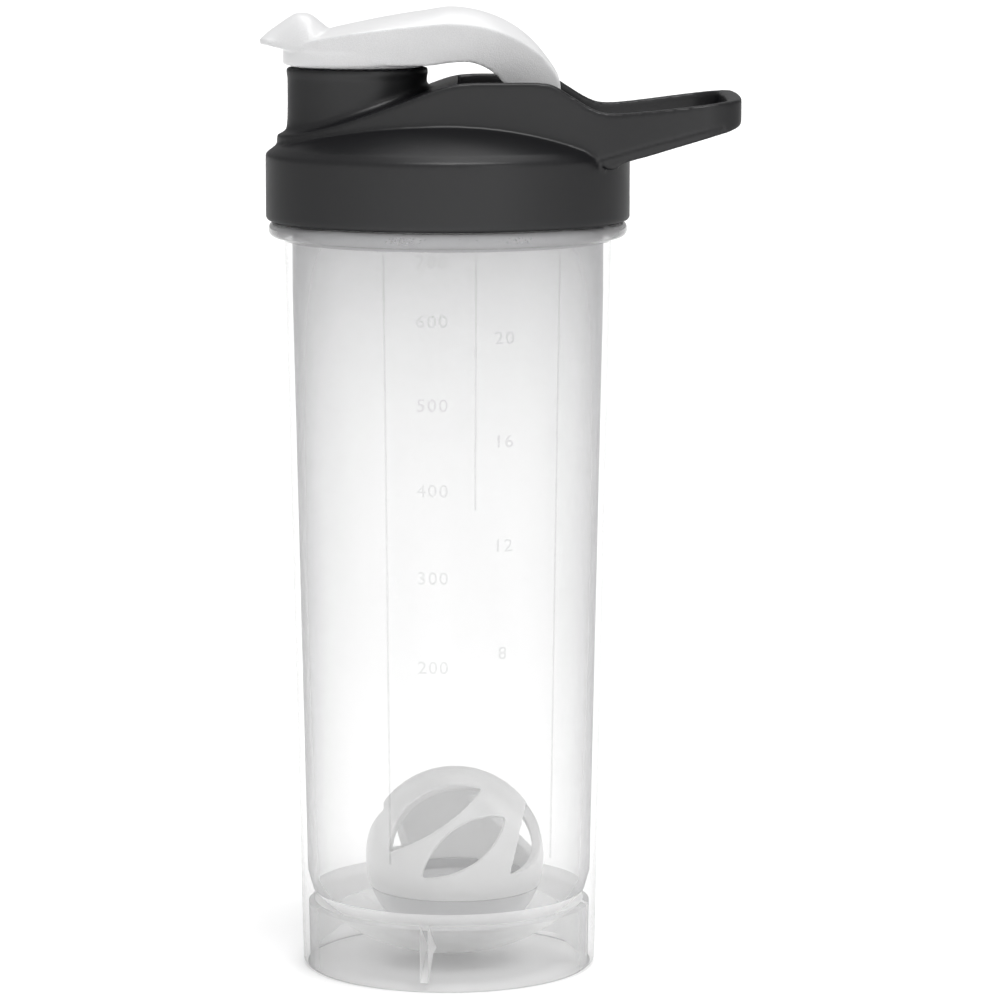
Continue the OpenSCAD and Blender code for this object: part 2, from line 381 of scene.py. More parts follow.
    @staticmethod
    def finish_with(obj: Piece, kind: str, **settings: Any) -> Piece:
        """Adds one modifier, sets it and applies it.

        Args:
            obj: The object.
            kind: The modifier's type.
            settings: Its settings.

        Returns:
            The object.
        """
        Bench.take(obj)
        mod = obj.modifiers.new(kind.lower(), kind)
        for key, value in settings.items():
            setattr(mod, key, value)
        bpy.ops.object.modifier_apply(modifier=mod.name)
        return obj

    @staticmethod
    def combine(obj: Piece, tool: Piece, kind: Cut) -> Piece:
        """Cuts obj with a tool, or adds the tool to it, and removes the tool.

        Args:
            obj: The object that is changed.
            tool: The solid that changes it.
            kind: How it does so.

        Returns:
            The object.
        """
        Bench.finish_with(obj, "BOOLEAN", operation=kind.value, solver="EXACT", object=tool)
        bpy.data.objects.remove(tool)
        return obj

    @staticmethod
    def join(name: str, parts: Sequence[Piece]) -> Piece:
        """Puts several objects into one mesh.

        Args:
            name: Name of the result.
            parts: The objects.

        Returns:
            The object.
        """
        Bench.take(parts[0])
        for part in parts[1:]:
            part.select_set(True)
        bpy.ops.object.join()
        parts[0].name = parts[0].data.name = name
        return parts[0]

    @staticmethod
    def fuse(obj: Piece, grain: float, rounds: int, keep: float) -> Piece:
        """Melts overlapping solids into one skin with rounded edges and fillets.

        Args:
            obj: The overlapping solids, in one mesh.
            grain: Size of the new faces in mm.
            rounds: How often the skin is smoothed.
            keep: Share of the faces that is kept.

        Returns:
            The object.
        """
        Bench.finish_with(obj, "REMESH", mode="VOXEL", voxel_size=grain * MM)
        Bench.finish_with(obj, "SMOOTH", factor=0.5, iterations=rounds)
        return Bench.finish_with(obj, "DECIMATE", ratio=keep)

    @staticmethod
    def shade(obj: Piece, angle: float = 35) -> Piece:
        """Shades obj smooth, but for edges sharper than the angle in degrees.

        Args:
            obj: The object.
            angle: The angle in degrees.

        Returns:
            The object.
        """
        Bench.take(obj)
        bpy.ops.object.shade_smooth_by_angle(angle=math.radians(angle))
        return obj


# ---------------------------------------------------------------- finishes

PLASTIC_IOR = 1.49
COAT_IOR = 1.5
COAT_FALL = 2.2
NOISE_ROUGH = 0.55
CLOUD_SIZE = 9.0
CLOUD_SHARE = 0.4
SPECK_CONTRAST = 1.8
SIDE_FROM, SIDE_FULL = 0.35, 0.7
SKIN_DEPTH = (0.004, 0.004, 0.0042)
GRIT_SIZE, GRIT_DEPTH = 0.5, 0.004
GRIT_DETAIL = 3
STREAK_SIZE, STREAK_STRETCH = 14.0, (1, 1, 0.15)
HAZE_SWING = 0.04
GLOSS_SWING = 0.08
EDGE_SHARE = 0.7
WALL_TOP = 0.19
# Painted shade on the inner wall: heights in metres over which its veil grows denser and its colour
# greyer towards the top, standing in for the shade under the lid.
SHADE_VEIL_FOOT, SHADE_VEIL_POWER = 0.05, 5
SHADE_HAZE_FOOT, SHADE_HAZE_SHARE = 0.03, 0.3
LOW_SHADE_SPAN, LOW_SHADE_SHARE = (0.025, 0.09), 0.6
HIGH_SHADE_SPAN, HIGH_SHADE_SHARE = (0.12, WALL_TOP), 0.2


@dataclass(frozen=True)
class Wire:
    """An output of a shader node, on which sums can be written."""

    kit: "NodeKit"
    socket: bpy.types.NodeSocket

    def _math(self, operation: str, a: Any, b: Any) -> "Wire":
        """A Math node with two inputs."""
        return self.kit.add("ShaderNodeMath", {"operation": operation}, {0: a, 1: b})

    def __add__(self, other: Any) -> "Wire":
        """self + other."""
        return self._math("ADD", self, other)

    __radd__ = __add__

    def __sub__(self, other: Any) -> "Wire":
        """self - other."""
        return self._math("SUBTRACT", self, other)

    def __rsub__(self, other: Any) -> "Wire":
        """other - self."""
        return self._math("SUBTRACT", other, self)

    def __mul__(self, other: Any) -> "Wire":
        """self * other."""
        return self._math("MULTIPLY", self, other)

    __rmul__ = __mul__

    def __pow__(self, other: Any) -> "Wire":
        """self to the power of other."""
        return self._math("POWER", self, other)


class NodeKit:
    """Builds one material's nodes."""

    def __init__(self, name: str) -> None:
        """Starts an empty material.

        Args:
            name: The material's name.
        """
        self.material = bpy.data.materials.new(name)
        self.material.use_nodes = True
        self.tree = self.material.node_tree
        self.tree.nodes.clear()

    def add(self, kind: str, settings: dict[str, Any], sockets: dict[Any, Any],
            out: Any = 0) -> Wire:
        """Adds a node.

        Args:
            kind: The node's type.
            settings: Its settings, set first. "stops" fills a colour ramp with (place, colour)
                pairs.
            sockets: Values or wires for its inputs, by name or number.
            out: Which output is returned.

        Returns:
            That output.
        """
        node = self.tree.nodes.new(kind)
        for key, value in settings.items():
            if key == "stops":
                ramp = node.color_ramp.elements
                while len(ramp) < len(value):
                    ramp.new(0.5)
                for stop, (place, colour) in zip(ramp, value):
                    stop.position, stop.color = place, (*colour, 1)
            else:
                setattr(node, key, value)
        for key, value in sockets.items():
            if isinstance(value, Wire):
                self.tree.links.new(value.socket, node.inputs[key])
            else:
                node.inputs[key].default_value = value
        return Wire(self, node.outputs[out]) if node.outputs else Wire(self, None)

    def place(self) -> Wire:
        """The piece's own coordinates, in metres."""
        return self.add("ShaderNodeTexCoord", {}, {}, "Object")

    def noise(self, size: float, detail: float = 2, stretch: Point3 = (1, 1, 1)) -> Wire:
        """A cloudy pattern from 0 to 1.

        Args:
            size: Size of its blots in mm.
            detail: How much finer detail it has.
            stretch: Scale along each axis.

        Returns:
            The pattern.
        """
        spot = self.add("ShaderNodeMapping", {}, {"Vector": self.place(), "Scale": stretch})
        sockets = {
            "Vector": spot, "Scale": 1 / (size * MM), "Detail": detail, "Roughness": NOISE_ROUGH}
        return self.add("ShaderNodeTexNoise", {}, sockets)

    def rise(self, low: float, high: float) -> Wire:
        """0 below one height and 1 above another, both in metres."""
        up = self.add("ShaderNodeSeparateXYZ", {}, {"Vector": self.place()}, "Z")
        return self.add("ShaderNodeMapRange", {}, {"Value": up, "From Min": low, "From Max": high})

    def across(self) -> Wire:
        """1 on faces that look sideways, along Y, and 0 on those that look up, down or forwards.

        Returns:
            The mask.
        """
        facing = self.add("ShaderNodeTexCoord", {}, {}, "Normal")
        side = self.add("ShaderNodeSeparateXYZ", {}, {"Vector": facing}, "Y") ** 2
        sockets = {"Value": side, "From Min": SIDE_FROM, "From Max": SIDE_FULL}
        return self.add("ShaderNodeMapRange", {"interpolation_type": "SMOOTHSTEP"}, sockets)

    def between(self, share: Wire, a: Sequence[float], b: Sequence[float]) -> Wire:
        """A colour that goes from a to b as share goes from 0 to 1."""
        stops = {"stops": [(0.0, tuple(a)), (1.0, tuple(b))]}
        return self.add("ShaderNodeValToRGB", stops, {"Fac": share})

    def bump(self, height: Wire, depth: float) -> Wire:
        """Surface relief of that depth in mm."""
        sockets = {"Height": height, "Distance": depth * MM, "Strength": 1.0}
        return self.add("ShaderNodeBump", {}, sockets)

    def output(self, shader: Wire) -> bpy.types.Material:
        """Connects the shader to the surface and returns the material."""
        self.add("ShaderNodeOutputMaterial", {"target": "ALL"}, {"Surface": shader})
        return self.material


@dataclass(frozen=True)
class Moulding:
    """An opaque moulded plastic or rubber: fine grain, faint clouds in colour and sheen."""

    name: str
    colour: Point3
    deep: Point3
    rough: float
    rough_swing: float
    grain: float
    grain_depth: float
    sides_only: bool = False
    coat: float = 0.0
    specular: float = 0.5
    subsurface: float = 0.0

    def dress(self) -> bpy.types.Material:
        """Makes the material.

        Returns:
            The material.
        """
        kit = NodeKit(self.name)
        clouds, grit = kit.noise(CLOUD_SIZE), kit.noise(self.grain, GRIT_DETAIL)
        slant = kit.add("ShaderNodeLayerWeight", {}, {"Blend": 0.5}, "Facing")
        speck = 0.5 + (grit - 0.5) * kit.across() * SPECK_CONTRAST if self.sides_only else grit
        shader = kit.add("ShaderNodeBsdfPrincipled", {}, {
            "Base Color": kit.between(
                clouds * CLOUD_SHARE + speck * (1 - CLOUD_SHARE), self.deep, self.colour),
            "Roughness": self.rough + self.rough_swing * (speck + clouds - 1.0),
            "Coat Weight": self.coat * (1 - slant) ** COAT_FALL,
            "Coat Roughness": self.rough,
            "Coat IOR": COAT_IOR,
            "Normal": kit.bump(speck, self.grain_depth),
            "Specular IOR Level": self.specular,
            "Subsurface Weight": self.subsurface,
            "Subsurface Radius": SKIN_DEPTH,
            "Subsurface Scale": 1.0,
            "IOR": PLASTIC_IOR,
        })
        return kit.output(shader)


@dataclass(frozen=True)
class ClearMoulding:
    """A see-through plastic, hazier where the wall is seen edge on, and optionally given painted
    shade: a denser, greyer veil towards the top and a lighter one near the foot.
    """

    name: str
    face: Point3
    edge: Point3
    haze: float
    edge_haze: float
    power: float
    rough: float
    top_painted_shade: float = 0.0

    def dress(self) -> bpy.types.Material:
        """Makes the material.

        Returns:
            The material.
        """
        kit = NodeKit(self.name)
        grit = kit.noise(GRIT_SIZE, GRIT_DETAIL)
        streaks = kit.noise(STREAK_SIZE, 1, STREAK_STRETCH)
        slant = kit.add("ShaderNodeLayerWeight", {}, {"Blend": 0.5}, "Facing")
        veil = self.haze + self.edge_haze * slant ** self.power
        veil = veil + HAZE_SWING * (streaks - 0.5) + HAZE_SWING * (grit - 0.5)
        deep = slant ** (self.power * EDGE_SHARE)
        # Painted shade: towards the top the veil gets denser and its colour greyer, standing in for
        # the shade under the lid; near the foot it stays lighter.
        if self.top_painted_shade:
            veil = veil + self.top_painted_shade * kit.rise(SHADE_VEIL_FOOT, WALL_TOP) ** SHADE_VEIL_POWER
            veil = veil + SHADE_HAZE_SHARE * self.top_painted_shade * kit.rise(SHADE_HAZE_FOOT, WALL_TOP)
            grey = LOW_SHADE_SHARE * kit.rise(*LOW_SHADE_SPAN) + HIGH_SHADE_SHARE * kit.rise(*HIGH_SHADE_SPAN)
            deep = deep + (1 - deep) * grey
        shader = kit.add("ShaderNodeBsdfPrincipled", {}, {
            "Base Color": kit.between(deep, self.face, self.edge),
            "Roughness": self.rough + GLOSS_SWING * (grit - 0.5),
            "Normal": kit.bump(grit, GRIT_DEPTH),
            "Alpha": veil,
            "IOR": PLASTIC_IOR,
        })
        return kit.output(shader)


def even(tone: float) -> Point3:
    """A grey without any tint."""
    return (tone, tone, tone)


CHARCOAL = Moulding(
    "charcoal_plastic", (0.013, 0.013, 0.014), (0.009, 0.009, 0.01), rough=0.38, rough_swing=0.06,
    grain=0.3, grain_depth=0.008, coat=1.0, specular=0.03)
WHITE = Moulding(
    "white_plastic", (0.76, 0.76, 0.765), (0.6, 0.6, 0.605), rough=0.34, rough_swing=0.1,
    grain=0.28, grain_depth=0.05, sides_only=True)
PLUG = Moulding(
    "soft_plug", (0.8, 0.8, 0.81), (0.76, 0.76, 0.77), rough=0.6, rough_swing=0.06,
    grain=0.5, grain_depth=0.01, subsurface=0.2)
SEAL = Moulding(
    "silicone_seal", (0.7, 0.71, 0.73), (0.66, 0.67, 0.69), rough=0.55, rough_swing=0.06,
    grain=0.5, grain_depth=0.01, subsurface=0.2)
STEEL = Moulding(
    "pin_steel", (0.6, 0.61, 0.63), (0.55, 0.56, 0.58), rough=0.3, rough_swing=0.06,
    grain=0.3, grain_depth=0.004)
CLEAR_OUT = ClearMoulding(
    "clear_outer", even(0.7), even(0.4), haze=0.04, edge_haze=0.65, power=5, rough=0.16)
# The inner wall carries painted shade: it is greyer and denser towards the top.
CLEAR_IN = ClearMoulding(
    "clear_inner", even(0.82), (0.16, 0.16, 0.17), haze=0.15, edge_haze=0.6, power=2.4, rough=0.3,
    top_painted_shade=0.27)
# The bead's finish: a dense grey for the thick ring, also put on the strip just under the bead as a
# painted shade line.
CLEAR_BEAD_AND_SHADE = ClearMoulding(
    "clear_bead_and_shade", (0.3, 0.3, 0.31), even(0.16), haze=0.55, edge_haze=0.4, power=1.5, rough=0.1)
CLEAR_WEB = ClearMoulding(
    "clear_web", even(0.95), even(0.95), haze=0.6, edge_haze=0.3, power=2, rough=0.3)
CLEAR_FLOOR = ClearMoulding(
    "clear_floor", even(0.98), even(0.98), haze=0.22, edge_haze=0.3, power=3, rough=0.35)
CLEAR_MARK = ClearMoulding(
    "clear_mark", even(0.45), even(0.35), haze=0.1, edge_haze=0.2, power=2, rough=0.3)
BALL = ClearMoulding(
    "ball_plastic", even(0.98), even(0.98), haze=0.62, edge_haze=0.33, power=2, rough=0.3)
CUP_CLEAR = ClearMoulding(
    "cup_plastic", (0.96, 0.96, 0.97), (0.9, 0.9, 0.91), haze=0.4, edge_haze=0.3, power=2,
    rough=0.25)


def hand_over(piece: Piece, finishes: Sequence[Any], body: str, node: str = "",
              pick: Callable[[Vector, Vector], int] | None = None) -> None:
    """Dresses a finished piece and tells the frame what it is.

    Args:
        piece: The piece.
        finishes: The finishes it gets.
        body: The body it rides on.
        node: The CAD node it replaces, if any.
        pick: Chooses a finish by number from a face's centre in mm and its normal.
    """
    piece.data.materials.clear()
    for finish in finishes:
        piece.data.materials.append(finish.dress())
    if pick:
        for face in piece.data.polygons:
            face.material_index = pick(face.center / MM, face.normal)
    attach(piece, body)
    if node:
        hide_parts(node)
    count = len(piece.data.polygons)
    LOG.info("%s rides on %s: %d faces, finish %s", piece.name, body, count, finishes[0].name)


# ---------------------------------------------------------------- bottle


@dataclass
class Bottle:
    """The clear bottle: tapered wall, bead, threaded neck, bowl floor, skirt and gussets."""

    foot_r: float = 36.7
    shoulder_r: float = 40.5
    wall_t: float = 1.7
    foot_round: float = 1.6
    bead_r: float = 44.4
    bead_z0: float = 183.4
    bead_z1: float = 187.1
    neck_r: float = 40.6
    neck_t: float = 2.1
    floor_edge_z: float = 20.5
    floor_mid_z: float = 4.4
    gussets: int = 4
    gusset_turn: float = -9.5
    gusset_t: float = 2.0
    thread_z: float = 190.6
    thread_lead: float = 6.0
    thread_turns: float = 1.25
    thread_h: float = 1.6
    panel_from: float = -21.9
    panel_to: float = 42.6
    panel_z0: float = 32.0
    panel_z1: float = 182.0
    divider_at: float = 10.2
    divider_z0: float = 120.0
    line_w: float = 0.45
    line_sunk: float = 0.1
    mark_proud: float = 0.08
    figure_h: float = 4.4
    figure_gap: float = 1.15
    figure_stretch: float = 1.1
    ml_at: float = -5.0
    oz_at: float = 20.5

    ML_FIGURES = (
        ("700", 180.0), ("600", 165.7), ("500", 145.4), ("400", 124.6), ("300", 103.2),
        ("200", 81.2))
    OZ_FIGURES = (("20", 161.6), ("16", 136.5), ("12", 111.0), ("8", 84.5))

    def __post_init__(self) -> None:
        """Reads the rim's height from the frame and works out the floor's sphere."""
        self.rim_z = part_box("bottle_body")[1][2] / MM
        half = self.wall_r(self.floor_edge_z) - self.wall_t
        dip = self.floor_edge_z - self.floor_mid_z
        self.floor_r = (half * half + dip * dip) / (2 * dip)
        self.floor_c = self.floor_mid_z + self.floor_r
        self.floor_half = half

    def wall_r(self, z: float) -> float:
        """Outer radius of the wall at height z."""
        return mix(self.foot_r, self.shoulder_r, z / self.bead_z0)

    def under(self, r: float) -> float:
        """Height of the floor's underside at radius r."""
        return self.floor_c - math.sqrt((self.floor_r + self.wall_t) ** 2 - r * r)

    def profile(self) -> list[Point2]:
        """The closed half outline of the wall, neck and floor.

        Returns:
            Its points as (radius, height) in mm.
        """
        t, neck_in = self.wall_t, self.neck_r - self.neck_t
        edge = math.degrees(math.asin((self.floor_half - 1.2) / self.floor_r))
        skirt_r = self.wall_r(self.floor_edge_z) - t - 1.6
        low = math.degrees(math.asin(skirt_r / (self.floor_r + t)))
        wall = [(self.wall_r(z), z) for z in (20, 60, 100, 140, 170)]
        inner = [(self.wall_r(z) - t, z) for z in (170, 140, 100, 60, self.floor_edge_z + 3.2)]
        skirt_in = [(self.wall_r(z) - t, z) for z in (self.floor_edge_z - 5, 8, 1.2)]
        outline = [
            *arc(self.foot_r - self.foot_round, self.foot_round, self.foot_round, -90, 0, 8), *wall,
            *arc(self.wall_r(self.bead_z0) + 1.2, self.bead_z0 - 1.2, 1.2, 180, 90, 6),
            *arc(self.bead_r - 1.7, self.bead_z0 + 1.7, 1.7, -80, 0, 8),
            *arc(self.bead_r - 1.7, self.bead_z1 - 1.7, 1.7, 0, 90, 8),
            *arc(self.neck_r + 0.6, self.bead_z1 + 0.6, 0.6, 270, 180, 4),
            *arc(self.neck_r - 0.7, self.rim_z - 0.7, 0.7, 0, 90, 5),
            *arc(neck_in + 0.6, self.rim_z - 0.6, 0.6, 90, 180, 5),
            (neck_in, self.bead_z0 + 1), *inner,
            *arc(0, self.floor_c, self.floor_r, -90 + edge, -90, 28),
            *arc(0, self.floor_c, self.floor_r + t, -90, -90 + low, 28), *skirt_in,
            *arc(self.foot_r - t + 0.6, 0.6, 0.6, 180, 270, 4),
        ]
        return [*outline, outline[0]]

    def gusset(self, index: int) -> Piece:
        """One flat gusset between the skirt and the floor.

        Args:
            index: Its number, from 0.

        Returns:
            The object.
        """
        r0 = self.wall_r(2) - self.wall_t + 0.5
        up = [(r, self.under(r) + 0.7) for r in (22, 25, 28, 31)]
        foot = [(r0, 2.4), (r0 - 0.8, 2.0), (28.6, 7.0), (27.6, 8.0)]
        outline = [*foot, *up, (r0, self.floor_edge_z - 2.4)]
        half = self.gusset_t / 2
        web = Bench.prism(f"gusset_{index}", outline, Plane.SIDE, -half, half)
        turn = math.radians(270 + self.gusset_turn + 360 * index / self.gussets)
        cos, sin = math.cos(turn), math.sin(turn)
        return Bench.moved(
            web, lambda p: Vector((p.x * cos - p.y * sin, p.x * sin + p.y * cos, p.z)))

    def thread(self) -> Piece:
        """The ridge that climbs around the neck.

        Returns:
            The object.
        """
        section = thread_section(self.neck_r - 0.6, self.neck_r + self.thread_h)
        return Bench.helix(
            "thread", section, self.neck_r - 0.3, self.thread_z, self.thread_lead,
            start=0, span=360 * self.thread_turns)

    def body(self) -> Piece:
        """The whole moulding.

        Returns:
            The object.
        """
        piece = Bench.lathe("bottle", self.profile(), steps=192)
        for i in range(self.gussets):
            Bench.combine(piece, self.gusset(i), Cut.ADD)
        Bench.combine(piece, self.thread(), Cut.ADD)
        return Bench.shade(Bench.close(piece), angle=30)

    def on_wall(self, angle: float, z: float, proud: float) -> Vector:
        """The point on the wall at an angle from the front, in degrees, and a height.

        Args:
            angle: The angle in degrees.
            z: The height in mm.
            proud: How far it stands out from the wall.

        Returns:
            The point in mm.
        """
        turn = math.radians(angle - 90)
        r = self.wall_r(z) + proud
        return Vector((r * math.cos(turn), r * math.sin(turn), z))

    def panel_line(self, name: str, angle: float, z0: float) -> Piece:
        """A fine upright ridge at the edge of the scale panel.

        Args:
            name: Name of the object.
            angle: Its angle from the front, in degrees.
            z0: Height of its lower end.

        Returns:
            The object.
        """

        def place(u: float, v: float, w: float) -> Point3:
            """Lays the unit cube on the wall.

            Args:
                u: Share of the length.
                v: Share of the width.
                w: Share of the height.

            Returns:
                The place in mm.
            """
            turn = angle + math.degrees((u - 0.5) * self.line_w / self.shoulder_r)
            proud = mix(-self.line_sunk, self.mark_proud, v)
            return tuple(self.on_wall(turn, mix(z0, self.panel_z1, w), proud))

        return Bench.block(name, 8, place)

    def figures(self, text: str, angle: float, z: float) -> Piece:
        """Raised figures of the volume scale, bent around the wall.

        Args:
            text: The figures.
            angle: Angle of their middle from the front, in degrees.
            z: Height of their middle.

        Returns:
            The object.
        """
        Bench.clear()
        bpy.ops.object.text_add()
        label = bpy.context.active_object
        label.data.body = text
        label.data.size = self.figure_h
        label.data.extrude = self.mark_proud
        label.data.align_x = "CENTER"
        label.data.align_y = "CENTER"
        label.data.space_character = self.figure_gap
        label.data.resolution_u = 4
        bpy.ops.object.convert(target="MESH")
        obj = Bench.fresh(f"figures_{text}")

        def place(p: Vector) -> Vector:
            """Wraps the flat text around the wall."""
            turn = angle + math.degrees(p.x * self.figure_stretch / self.shoulder_r)
            return self.on_wall(turn, z + p.y, p.z)

        for v in obj.data.vertices:
            v.co = place(v.co) * MM
        return Bench.close(obj)

    def scale_marks(self) -> Piece:
        """The panel's edges, its divider and the figures on it.

        Returns:
            The object.
        """
        parts = [
            self.panel_line("panel_edge_a", self.panel_from, self.panel_z0),
            self.panel_line("panel_edge_b", self.panel_to, self.panel_z0),
            self.panel_line("panel_divider", self.divider_at, self.divider_z0),
        ]
        for angle, column in ((self.ml_at, self.ML_FIGURES), (self.oz_at, self.OZ_FIGURES)):
            parts += [self.figures(text, angle, z) for text, z in column]
        return Bench.shade(Bench.join("scale_marks", parts), angle=40)

    def finish_at(self, spot: Vector, normal: Vector) -> int:
        """Which finish a face of the moulding gets: outside, inside, bead (with a painted shade
        line just under it), gusset or floor.

        Args:
            spot: The face's centre in mm.
            normal: The face's normal.

        Returns:
            The finish's number.
        """
        r = math.hypot(spot.x, spot.y)
        outward = (spot.x * normal.x + spot.y * normal.y) / max(r, 0.1)
        # The strip just under the bead gets the bead's dark finish too: a painted shade line under
        # the bead.
        if spot.z > self.bead_z0 - 0.8 and r > self.neck_r - 0.2:
            return 2
        inside = r < self.wall_r(spot.z) - self.wall_t - 0.1
        if inside and spot.z < self.floor_edge_z + 1:
            above = spot.z - self.under(min(r, self.floor_half))
            if abs(above) < 0.2 or abs(above - self.wall_t) < 0.4:
                return 4
            web = r < self.floor_half - 1 or (abs(outward) < 0.5 and abs(normal.z) < 0.5)
            return 3 if web else 1
        return 1 if outward < 0.2 else 0

    def build(self) -> None:
        """Makes and hands over the bottle's pieces."""
        coats = (CLEAR_OUT, CLEAR_IN, CLEAR_BEAD_AND_SHADE, CLEAR_WEB, CLEAR_FLOOR)
        hand_over(self.body(), coats, "bottle", "bottle_body", self.finish_at)
        hand_over(self.scale_marks(), (CLEAR_MARK,), "bottle")


# ---------------------------------------------------------------- cap


@dataclass
class Lid:
    """The charcoal cap: band, dome, shoulder, spout, walls and carry loop, with seal and pin."""

    cap_r: float = 45.0
    band_z0: float = 187.4
    band_z1: float = 204.3
    band_round: float = 0.8
    bore_r: float = 42.9
    ledge_z: float = 202.2
    ledge_r: float = 37.6
    shell_t: float = 2.0
    dome_r: float = 103.0
    dome_z: float = 111.9
    spout_x: float = -22.3
    spout_r: float = 17.2
    spout_z: float = 225.0
    mouth_r: float = 14.8
    hill_x0: float = -42.2
    hill_x1: float = -1.0
    rail_y: float = 26.0
    loop_y: float = 31.6
    rail_t: float = 3.6
    flare: Point2 = (29.0, 61.0)
    loop_round: float = 10.0
    channel_x: float = 2.5
    hinge_x: float = 24.0
    hinge_z: float = 217.0
    ear_t: float = 3.6
    ear_r: float = 3.6
    pin_r: float = 1.5
    thread_z: float = 191.6
    thread_lead: float = 6.0
    thread_h: float = 1.6

    TOP_EDGE = (
        (-44.0, 208.3), (-36.0, 209.3), (-29.4, 211.0), (-20.4, 214.0), (-10.3, 217.6),
        (-4.0, 220.0), (0.5, 221.5), (5.0, 222.15), (13.0, 222.2), (22.0, 222.2), (26.0, 221.5),
        (30.0, 219.1), (33.5, 216.9), (37.0, 215.3), (41.0, 214.95), (48.0, 215.5),
        (60.0, 216.9), (68.0, 217.9), (75.0, 218.6),
    )
    UNDER_EDGE = (
        (74.5, 215.5), (72.6, 213.4), (70.8, 211.7), (68.2, 210.6), (63.3, 209.2), (58.6, 207.8),
        (54.0, 206.4), (49.0, 204.8), (45.5, 203.8), (43.4, 203.1), (42.2, 202.4), (41.0, 201.5),
        (39.6, 201.2), (38.3, 201.6), (37.2, 202.8), (36.4, 204.4),
    )

    def __post_init__(self) -> None:
        """Reads the loop's end and the pin's length from the frame."""
        self.loop_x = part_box("lid_shell")[1][0] / MM - 0.3
        self.pin_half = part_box("hinge_pin")[1][1] / MM

    def dome_at(self, r: float) -> float:
        """Height of the dome at radius r."""
        return self.dome_z + math.sqrt(self.dome_r ** 2 - r * r)

    def rail_half(self, x: float) -> float:
        """Half the distance across the side walls and the loop at x."""
        x0, x1 = self.flare
        return mix(self.rail_y, self.loop_y, s_step((x - x0) / (x1 - x0)))

    def plan(self, inset: float) -> list[Point2]:
        """The outline from above of everything on the dome, drawn in by inset.

        Args:
            inset: How far it is drawn in, in mm.

        Returns:
            Its points as (x, y) in mm.
        """
        reach = self.hill_x1 - self.hill_x0 - inset
        hill = [(self.hill_x1 - reach * math.cos(t), (self.rail_y - inset) * math.sin(t))
                for t in (math.pi / 2 * i / 30 for i in range(31))]
        run = range(4, int(self.loop_x - self.loop_round), 2)
        straight = [(x, self.rail_half(x) - inset) for x in run]
        r = self.loop_round - inset
        corner = arc(self.loop_x - inset - r, self.loop_y - inset - r, r, 84, 0, 12)
        across = [(self.loop_x - inset, y) for y in (19, 15, 10, 5)]
        end = [(x - 1.6 * (y / self.loop_y) ** 2, y) for x, y in [*corner, *across]]
        half = [*hill, *straight, *end]
        return [*half, *[(x, -y) for x, y in reversed(half)][:-1]]

    def cap_block(self) -> Piece:
        """The band and the dome, filled.

        Returns:
            The object.
        """
        edge, e = math.degrees(math.acos((self.cap_r - 2.2) / self.dome_r)), self.band_round
        profile = [
            (0, self.band_z0), (self.cap_r - 0.6, self.band_z0), (self.cap_r, self.band_z0 + 0.6),
            *[(self.cap_r, z) for z in (192, 196, 200)],
            *arc(self.cap_r - e, self.band_z1 - e, e, 0, 55, 5),
            *arc(0, self.dome_z, self.dome_r, edge, 90, 40),
        ]
        return Bench.lathe("cap_block", profile, steps=160)

    def side_view(self) -> list[Point2]:
        """The outline from the side of the shoulder, the walls and the loop.

        Returns:
            Its points as (x, z) in mm.
        """
        top = [spline(self.TOP_EDGE, i / 90) for i in range(91)]
        under = [spline(self.UNDER_EDGE, i / 60) for i in range(61)]
        return [*top, *under, (32, 203.6), (-44, 203.6)]

    def rails(self) -> Piece:
        """Shoulder, side walls and loop as one solid, with the lever's channel cut out.

        Returns:
            The object.
        """
        wall = Bench.prism("rails", self.side_view(), Plane.SIDE, lo=-60, hi=60)
        plan = Bench.prism("plan", self.plan(inset=0), Plane.PLAN, lo=190, hi=240)
        Bench.combine(wall, plan, Cut.COMMON)
        inner = Bench.prism("inner", self.plan(self.rail_t), Plane.PLAN, lo=180, hi=250)
        keep = [(self.channel_x, 100), (100, 100), (100, 300), (self.channel_x, 300)]
        Bench.combine(inner, Bench.prism("keep", keep, Plane.SIDE, lo=-50, hi=50), Cut.COMMON)
        return Bench.combine(wall, inner, Cut.AWAY)

    def rebate(self) -> Piece:
        """A thin cutter that steps the lower edge of the arms back.

        Returns:
            The object.
        """
        line = [(36.0, 203.3), (50.2, 207.6), (64.0, 211.3), (67.0, 211.8)]
        low = [(67.5, 205), (36.0, 196)]
        band = Bench.prism("rebate", [*line, *low], Plane.SIDE, lo=-60, hi=60)
        core = Bench.prism("core", self.plan(inset=0.9), Plane.PLAN, lo=180, hi=250)
        return Bench.combine(band, core, Cut.AWAY)

    def ears(self) -> list[Piece]:
        """The two ears that hold the pin.

        Returns:
            The two objects.
        """
        outline = [
            (self.hinge_x + self.ear_r + 0.6, self.dome_at(self.hinge_x) - 1.2),
            *arc(self.hinge_x, self.hinge_z, self.ear_r, 0, 180, 16),
            (self.hinge_x - self.ear_r - 1.2, self.dome_at(self.hinge_x) - 1.2),
        ]
        gap = self.pin_half - self.ear_t
        return [Bench.prism("ear", outline, Plane.SIDE, *span)
                for span in ((gap, self.pin_half), (-self.pin_half, -gap))]

    def hollow(self) -> Piece:
        """The space inside the cap.

        Returns:
            The object.
        """
        edge = math.degrees(math.acos(self.ledge_r / (self.dome_r - self.shell_t)))
        profile = [
            (0, 180), (self.bore_r, 180), (self.bore_r, self.ledge_z), (self.ledge_r, self.ledge_z),
            *arc(0, self.dome_z, self.dome_r - self.shell_t, edge, 90, 30),
        ]
        return Bench.lathe("hollow", profile, steps=160)

